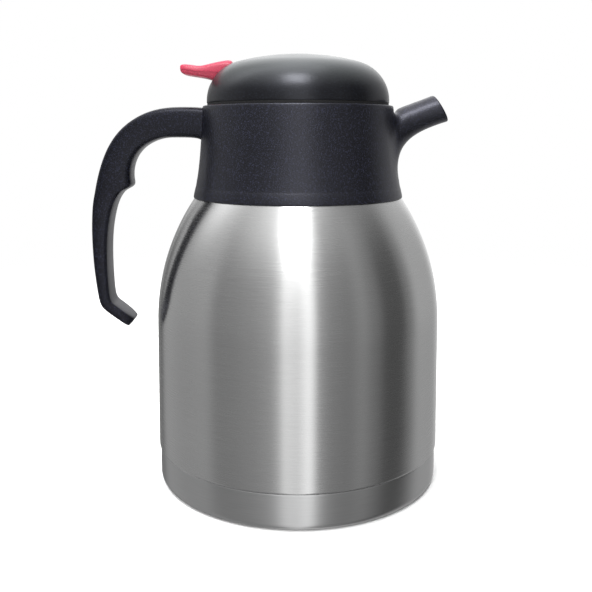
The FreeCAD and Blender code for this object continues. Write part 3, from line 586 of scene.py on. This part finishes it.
thread_lead = 15
ridge_span = 100
ridge_steps = 30
ridges = []
for turn in (0, 120, 240):
    outline("ridge", (44.3, 185.0), (48.0, 185.35), (48.0, 186.65), (44.3, 187.0))
    close_outline()
    bpy.ops.object.mode_set(mode="OBJECT")
    ridge = bpy.context.object
    climb = ridge.modifiers.new("climb", "SCREW")
    climb.angle = math.radians(ridge_span)
    climb.screw_offset = thread_lead * MM * ridge_span / 360
    climb.steps = ridge_steps
    climb.render_steps = ridge_steps
    bpy.ops.object.modifier_apply(modifier=climb.name)
    ridge.rotation_euler = (0, 0, math.radians(turn))
    bpy.ops.object.transform_apply(location=True, rotation=True, scale=True)
    close_ends()
    ridges.append(ridge)
bpy.ops.object.select_all(action="DESELECT")
for ridge in ridges:
    ridge.select_set(True)
bpy.context.view_layer.objects.active = ridges[0]
bpy.ops.object.join()
bpy.ops.object.shade_smooth_by_angle(angle=math.radians(30))
ridges[0].name = "collar_thread"
put_on(ridges[0], grained_black, "jug", "black_collar")

tenon = block("handle_tenon", (17, 10, 5), (-58, 0, 183.9), 0.5, 2)
put_on(tenon, grained_black, "jug", "black_collar")

# ------------------------------------------------------------------------------------------------
# The handle: a long moulded bow from the collar down to a hooked end, with a stop for the forefinger.
# The arm is well rounded and the grip flatter. Its screws go up through the arm from below.
# ------------------------------------------------------------------------------------------------


def between(outer_x, outer_z, inner_x, inner_z, wide):
    """The station whose section reaches from one point to another, with that half width."""
    across, up = outer_x - inner_x, outer_z - inner_z
    return ((outer_x + inner_x) / 2, (outer_z + inner_z) / 2, math.degrees(math.atan2(-across, up)),
            math.hypot(across, up) / 2, wide)


def follow(name, corner, first, *stations):
    """A closed bar led through stations, its section an oblong with cut corners."""
    bpy.ops.object.select_all(action="DESELECT")
    bpy.ops.mesh.primitive_plane_add(size=2 * MM)
    bar = bpy.context.object
    bar.name = name
    x, z, lean, deep, wide = first
    bpy.ops.object.mode_set(mode="EDIT")
    bpy.ops.mesh.select_mode(type="VERT")
    bpy.ops.mesh.select_all(action="SELECT")
    bpy.ops.transform.resize(value=(deep, wide, 1))
    bpy.ops.mesh.bevel(offset=corner * MM, segments=2, affect="VERTICES")
    bpy.ops.object.mode_set(mode="OBJECT")
    bar.rotation_euler = (0, math.radians(-90 - lean), 0)
    bar.location = (x * MM, 0, z * MM)
    bpy.ops.object.transform_apply(location=True, rotation=True, scale=True)
    bpy.ops.object.mode_set(mode="EDIT")
    bpy.ops.mesh.select_all(action="SELECT")
    for station in stations:
        next_ring(first, station)
        first = station
    face_outward()
    return bar


def combine(piece, how, other):
    """Joins another solid to a piece, or cuts it away, and takes that solid off the bench."""
    select_only(piece)
    step = piece.modifiers.new("step", "BOOLEAN")
    step.operation = how
    step.object = other
    bpy.ops.object.modifier_apply(modifier=step.name)
    bpy.data.objects.remove(other)


handle = follow(
    "handle", 3.4,
    between(-48.6, 192.4, -48.6, 174.6, 8.5), between(-48.9, 192.4, -48.9, 174.7, 8.5),
    between(-50.4, 192.5, -50.4, 175.7, 8.5), between(-53, 192.7, -53, 176.7, 8.5),
    between(-62, 192.9, -62, 176.9, 8.5), between(-70.5, 192.3, -68.2, 176.9, 8.5),
    between(-78.9, 190.1, -73.8, 175.5, 8.5), between(-87.5, 185.4, -79, 172.9, 8.5),
    between(-94.7, 178.7, -83, 169.2, 8.5), between(-100.1, 169.7, -85.6, 164.6, 8.5),
    between(-103.3, 160.4, -86.8, 159.4, 8.5), between(-104.7, 155, -86.6, 155, 8.5),
    between(-105.6, 151, -85.9, 152.3, 8.5), between(-106.2, 147.6, -88, 150.5, 8.5),
    between(-106.7, 144.5, -91.5, 149.2, 8.5), between(-107.2, 140.5, -94.9, 144.3, 8.5),
    between(-107.5, 134, -97, 137.6, 8.5), between(-107.6, 126, -98.9, 127.5, 8.5),
    between(-107.1, 114, -99.4, 115, 8.5), between(-106.2, 104.5, -99.1, 104.2, 8.5),
    between(-105.2, 97, -98.6, 95.6, 8.5), between(-104.2, 91, -98, 92.2, 8.5),
    between(-103.1, 88.3, -97, 90.4, 8.5), between(-101.2, 86.3, -95.4, 89.2, 8.5),
    between(-95.7, 82, -90.9, 85.8, 8.4), between(-91.5, 78.7, -87.8, 83.3, 7.6),
    between(-89.9, 77.6, -86.4, 82, 6.2), between(-89.2, 77.4, -86.1, 81.3, 5))
bpy.ops.object.mode_set(mode="EDIT")
bpy.ops.mesh.select_mode(type="EDGE")
bpy.ops.mesh.select_all(action="DESELECT")
bpy.ops.object.mode_set(mode="OBJECT")
spine = handle.data
for edge in spine.edges:
    one, other = (spine.vertices[corner].co / MM for corner in edge.vertices)
    lengthwise = abs(one.y) > 5 and abs(abs(one.y) - abs(other.y)) < 0.9 and (one - other).length > 1.2
    edge.select = lengthwise and max(one.z, other.z) < 149.6 and abs(abs(one.y) - 7.5) < 0.6
bpy.ops.object.mode_set(mode="EDIT")
bpy.ops.transform.edge_crease(value=0.75)
bpy.ops.object.mode_set(mode="OBJECT")
smoothed(handle, 3)
head_radius, head_depth, head_middle = 2.9, 9, 174.3
for x in (-57, -63):
    bpy.ops.object.select_all(action="DESELECT")
    bpy.ops.mesh.primitive_cylinder_add(vertices=40, radius=head_radius * MM, depth=head_depth * MM,
                                        location=(x * MM, 0, head_middle * MM))
    combine(handle, "DIFFERENCE", bpy.context.object)
bpy.ops.object.shade_smooth_by_angle(angle=math.radians(40))
handle_black = moulded("handle_black", (0.001, 0.001, 0.002), (0.013, 0.015, 0.030), 0.38,
                       shine=0.4, sheen=(0.84, 0.85, 1.0))
put_on(handle, handle_black, "jug", "black_handle", "handle_shell")

cover = follow(
    "handle_cover_strip", 0.5,
    between(-98.6, 147.2, -95.2, 145.2, 5.6), between(-99.2, 145.2, -95.5, 143.8, 5.6),
    between(-100.6, 138.3, -97.6, 137.4, 5.6), between(-102, 127.9, -99.5, 127.5, 5.6),
    between(-102.3, 115, -100, 115, 5.6), between(-102.1, 104.2, -99.7, 104.2, 5.6),
    between(-101.7, 96.5, -99.25, 95.9, 5.6), between(-101.4, 94.4, -98.95, 94, 5.6))
put_on(smoothed(cover, 2), moulded("satin_cover", (0.010, 0.011, 0.014), (0.022, 0.024, 0.028), 0.40),
       "jug", "black_cover", "handle_cover")

# ------------------------------------------------------------------------------------------------
# The dome: a thin black moulding over the stopper's works, clipped on the flange. It has a slot at
# the back for the lever and, under that, a small tab to turn the stopper by.
# ------------------------------------------------------------------------------------------------
outline("dome", (45.3, 194.5), (46.95, 194.5), (47.22, 194.6), (47.32, 194.85), (47.32, 195.7),
        (26.82, 195.7, 75, 26), (0, 95.63, 15, 14), (0, 218.5), (0, 95.63, -15, 10),
        (26.82, 195.7, -61, 12), (43.9, 199.9), (43.9, 198.5), (45.11, 198.5), (45.11, 194.7))
dome = turn_piece()
outline("tab", (45.6, 194.6), (47.5, 194.5), (47.55, 194.1), (48.5, 194.0), (49.0, 194.4),
        (49.25, 195.4), (49.2, 196.4), (48.8, 197.1), (47.9, 197.6), (46.6, 198.1))
tab = turn_piece(24, 48)
close_ends()
tab.rotation_euler = (0, 0, math.radians(156))
bpy.ops.object.transform_apply(location=True, rotation=True, scale=True)
slot_block = block("slot_block", (27.6, 19, 24), (-46.2, 0, 216.4), 1.2, 4)
combine(dome, "UNION", tab)
combine(dome, "DIFFERENCE", slot_block)
bpy.ops.object.shade_smooth_by_angle(angle=math.radians(30))
dome_plastic = moulded("dome_plastic", (0.002, 0.002, 0.003), (0.008, 0.010, 0.014), 0.30,
                       depth=4e-5, shine=0.6, sheen=(0.88, 0.90, 1.0))
tree = dome_plastic.node_tree
skin = tree.nodes["Principled BSDF"]
# Painted light: the dome's base colour is mixed towards a lighter grey by height, so its top reads lighter.
# This is a painted sheen for the light the top catches from above.
height = tree.nodes.new("ShaderNodeSeparateXYZ")
wire(tree, tree.nodes.new("ShaderNodeTexCoord").outputs["Object"], height.inputs[0])
painted_top_sheen_mask = tree.nodes.new("ShaderNodeMapRange")
painted_top_sheen_mask.interpolation_type = "SMOOTHSTEP"
painted_top_sheen_mask.inputs["From Min"].default_value = 0.200
painted_top_sheen_mask.inputs["From Max"].default_value = 0.217
wire(tree, height.outputs["Z"], painted_top_sheen_mask.inputs["Value"])
painted_top_sheen = tree.nodes.new("ShaderNodeMix")
painted_top_sheen.data_type = "RGBA"
painted_top_sheen.inputs["B"].default_value = (0.070, 0.076, 0.076, 1)
wire(tree, painted_top_sheen_mask.outputs[0], painted_top_sheen.inputs["Factor"])
wire(tree, skin.inputs["Base Color"].links[0].from_socket, painted_top_sheen.inputs["A"])
wire(tree, painted_top_sheen.outputs["Result"], skin.inputs["Base Color"])
put_on(dome, dome_plastic, "stopper", "dome_plastic", "lid_dome")

# ------------------------------------------------------------------------------------------------
# The lever: a red moulding. Outside the dome it is a thumb blade with a hollow; inside, a fork under
# the valve stem's head. It turns on the steel pin across the slot.
# ------------------------------------------------------------------------------------------------
lever = follow(
    "red_lever", 1.4,
    between(-60.5, 213.2, -60.5, 211.2, 6.8), between(-60.3, 214.3, -60, 209.9, 8.1),
    between(-58.6, 214.8, -58.3, 209, 8.8), between(-54.2, 214.3, -54.5, 208.4, 9),
    between(-50.2, 213.6, -50.2, 207.7, 9), between(-46, 214.9, -45.8, 206.9, 9),
    between(-40.5, 216.2, -41.6, 205.0, 9), between(-36.2, 217.1, -38, 202.5, 9),
    between(-33.8, 216.7, -35, 202.3, 9), between(-33.4, 214, -32, 202.5, 9),
    between(-31, 211, -29.4, 203.4, 9), between(-29.2, 208.8, -28, 205.4, 7))
smoothed(lever, 3)
fork_width, stem_gap = 10, 6.2
outline("fork", (-31, 204.5), (5, 205.4), (5.5, 205.9), (5.5, 208.1), (5, 208.6), (-31, 208.6))
close_outline()
bpy.ops.mesh.edge_face_add()
bpy.ops.mesh.extrude_region_move(TRANSFORM_OT_translate={"value": (0, fork_width * MM, 0)})
bpy.ops.mesh.select_all(action="SELECT")
bpy.ops.transform.translate(value=(0, -fork_width / 2 * MM, 0))
face_outward()
fork = bpy.context.object
bpy.ops.object.select_all(action="DESELECT")
bpy.ops.mesh.primitive_cube_add(size=1 * MM, location=(5.5 * MM, 0, 205 * MM))
notch = bpy.context.object
notch.scale = (20, stem_gap, 20)
bpy.ops.object.transform_apply(location=False, rotation=False, scale=True)
combine(fork, "DIFFERENCE", notch)
lever.select_set(True)
bpy.context.view_layer.objects.active = lever
bpy.ops.object.join()
put_on(lever, moulded("red_lever", (0.44, 0.030, 0.070), (0.58, 0.045, 0.095), 0.34, depth=1e-5, shine=0.5),
       "lever", "lever_red", "lever")

# ------------------------------------------------------------------------------------------------
# The valve's spring: steel wire wound in six turns between the plug and the stopper's ceiling. It
# shortens as the lever lifts the valve.
# ------------------------------------------------------------------------------------------------
bpy.ops.object.select_all(action="DESELECT")
spring_wire, spring_radius, spring_foot = 0.6, 7, 158.57
spring_turns, spring_pitch, steps_a_turn = 6, 3.885, 36
bpy.ops.mesh.primitive_circle_add(vertices=10, radius=spring_wire * MM)
spring = bpy.context.object
spring.name = "wound_spring"
bpy.ops.object.mode_set(mode="EDIT")
bpy.ops.transform.rotate(value=math.radians(90), orient_axis="X", center_override=(0, 0, 0))
bpy.ops.transform.translate(value=(spring_radius * MM, 0, spring_foot * MM))
bpy.ops.object.mode_set(mode="OBJECT")
coil = spring.modifiers.new("coil", "SCREW")
coil.iterations = spring_turns
coil.screw_offset = spring_pitch * MM
coil.steps = steps_a_turn
coil.render_steps = steps_a_turn
coil.use_normal_calculate = True
bpy.ops.object.modifier_apply(modifier=coil.name)
close_ends()
bpy.ops.object.shade_smooth_by_angle(angle=math.radians(50))
bright_steel = brushed_metal("bright_steel", (0.60, 0.60, 0.59), (0.70, 0.70, 0.69), 0.22, 0.0)
put_on(spring, bright_steel, "valve", "spring_steel", "valve_spring")
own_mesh(spring)

# ------------------------------------------------------------------------------------------------
# What is left keeps the shape it has and takes its finish: the seals, the stopper's inner mouldings,
# the stem, the pin and the screws. They show when the stopper is out, or through its windows.
# ------------------------------------------------------------------------------------------------
silicone = moulded("silicone", (0.46, 0.47, 0.46), (0.56, 0.57, 0.56), 0.45, 1400)
for node in ("neck_gasket", "stopper_seal", "valve_washer", "stem_guide"):
    finish_with(node, silicone)
finish_with("rim_gasket", moulded("black_rubber", (0.008, 0.008, 0.009), (0.014, 0.014, 0.015), 0.6))
inner_black = moulded("inner_black", (0.018, 0.018, 0.020), (0.026, 0.026, 0.028), 0.34)
for node in ("stopper_foot", "stopper_tube", "stopper_cage", "stopper_cap", "lever_carrier", "valve_plug"):
    finish_with(node, inner_black)
for node in ("lever_pin", "valve_stem", "stem_clip", "lid_screws", "handle_screws"):
    finish_with(node, bright_steel)
finish_with("handle_inserts", brushed_metal("turned_brass", (0.62, 0.44, 0.16), (0.74, 0.55, 0.22), 0.3, 0.0))
